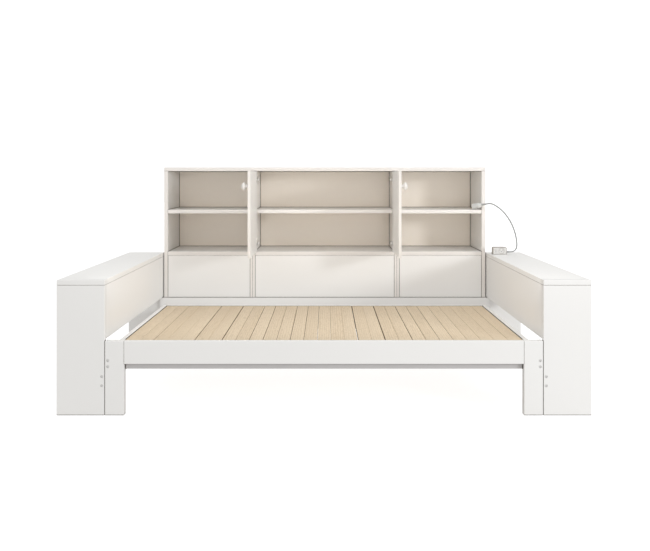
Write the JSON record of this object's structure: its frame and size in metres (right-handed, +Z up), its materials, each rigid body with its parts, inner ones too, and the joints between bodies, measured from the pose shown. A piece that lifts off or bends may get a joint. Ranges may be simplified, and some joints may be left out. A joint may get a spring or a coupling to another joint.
{
  "type": "bookcase headboard bed",
  "caption": "Slatted day bed between open side cabinets, with a bookcase across the back: open cubbies, a middle bay behind swinging doors, and a corded power hub.",
  "frame": {"origin": "floor level, centre of the bounding box in plan", "axes": "+X to the right seen from the front, along the bed; +Y towards the bookcase at the back; +Z up"},
  "size_m": [2.57, 1.738, 1.206],
  "materials": {
    "board_white": "satin white paint on board",
    "slat_timber": "matt clear pine",
    "knob_white": "semi-gloss white",
    "hardware_steel": "nickel plated",
    "hub_shell": "fine matt texture",
    "hub_face": "smooth satin",
    "cord_grey": "matt",
    "plug_light": "smooth satin",
    "plug_brass": "nickel washed"
  },
  "bodies": {
    "root": {"back_panel": "board_white", "back_rail": "board_white", "bed_slats": "slat_timber", "bookcase_divider_left": "board_white", "bookcase_divider_right": "board_white", "bookcase_side_left": "board_white", "bookcase_side_right": "board_white", "bookcase_top": "board_white", "bottom_boards": "board_white", "cabinet_back_left": "board_white", "cabinet_back_right": "board_white", "cabinet_deck_left": "board_white", "cabinet_deck_right": "board_white", "cabinet_dividers_left": "board_white", "cabinet_dividers_right": "board_white", "cabinet_front_left": "board_white", "cabinet_front_right": "board_white", "cabinet_inner_left": "board_white", "cabinet_inner_right": "board_white", "cabinet_stretcher_left": "board_white", "cabinet_stretcher_right": "board_white", "cabinet_top_left": "board_white", "cabinet_top_right": "board_white", "cross_rail": "board_white", "deck_shelves": "board_white", "frame_bolts": "hardware_steel", "front_ledger": "board_white", "front_leg_left": "board_white", "front_leg_right": "board_white", "front_rail": "board_white", "hinge_arms": "hardware_steel", "hub_case": "hub_shell", "hub_face": "hub_face", "hub_gland": "hub_shell", "lower_panel_left": "board_white", "lower_panel_middle": "board_white", "lower_panel_right": "board_white", "middle_shelf_left": "board_white", "middle_shelf_middle": "board_white", "middle_shelf_right": "board_white", "plug_body": "plug_light", "plug_pins": "plug_brass", "power_cord": "cord_grey", "rear_ledger": "board_white", "rear_leg_left": "board_white", "rear_leg_right": "board_white", "rear_rail": "board_white", "shelf_pins": "hardware_steel", "side_rail_left": "board_white", "side_rail_right": "board_white", "tie_rail_left": "board_white", "tie_rail_right": "board_white"},
    "door_left": {"door_left": "board_white", "knob_left": "knob_white", "hinge_cups_left": "hardware_steel"},
    "door_right": {"door_right": "board_white", "knob_right": "knob_white", "hinge_cups_right": "hardware_steel"}
  },
  "joints": [
    {"name": "door_left_hinge", "type": "hinge", "parent": "root", "child": "door_left", "pos_m": [-0.45555, 0.47125, 0.92], "axis": [0, 0, 1], "range_deg": [-15, 90]},
    {"name": "door_right_hinge", "type": "hinge", "parent": "root", "child": "door_right", "pos_m": [0.45555, 0.47125, 0.92], "axis": [0, 0, 1], "range_deg": [-90, 15]}
  ]
}
